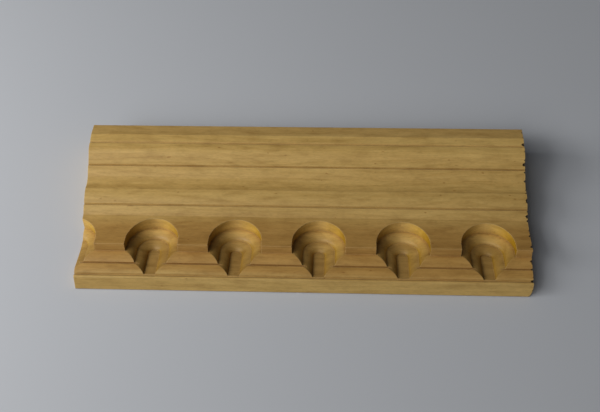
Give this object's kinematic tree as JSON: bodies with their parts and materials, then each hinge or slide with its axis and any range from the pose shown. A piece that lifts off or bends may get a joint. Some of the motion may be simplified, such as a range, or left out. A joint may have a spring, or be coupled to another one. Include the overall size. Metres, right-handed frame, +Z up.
{
  "type": "wood edge slicker",
  "caption": "Moulded hardwood board with a stepped back-to-front profile of beads, coves and quirks, and a row of stepped round pockets open at its front edge.",
  "frame": {"origin": "middle of the flat underside", "axes": "+X along the board, -Y towards the thin front edge that the pockets open through, +Z up"},
  "size_m": [0.214, 0.0826, 0.0209],
  "materials": {
    "slicker_wood": "bare yellow hardwood, finely sanded, with a low waxy sheen"
  },
  "bodies": {
    "root": {"slicker_board": "slicker_wood"}
  },
  "joints": []
}
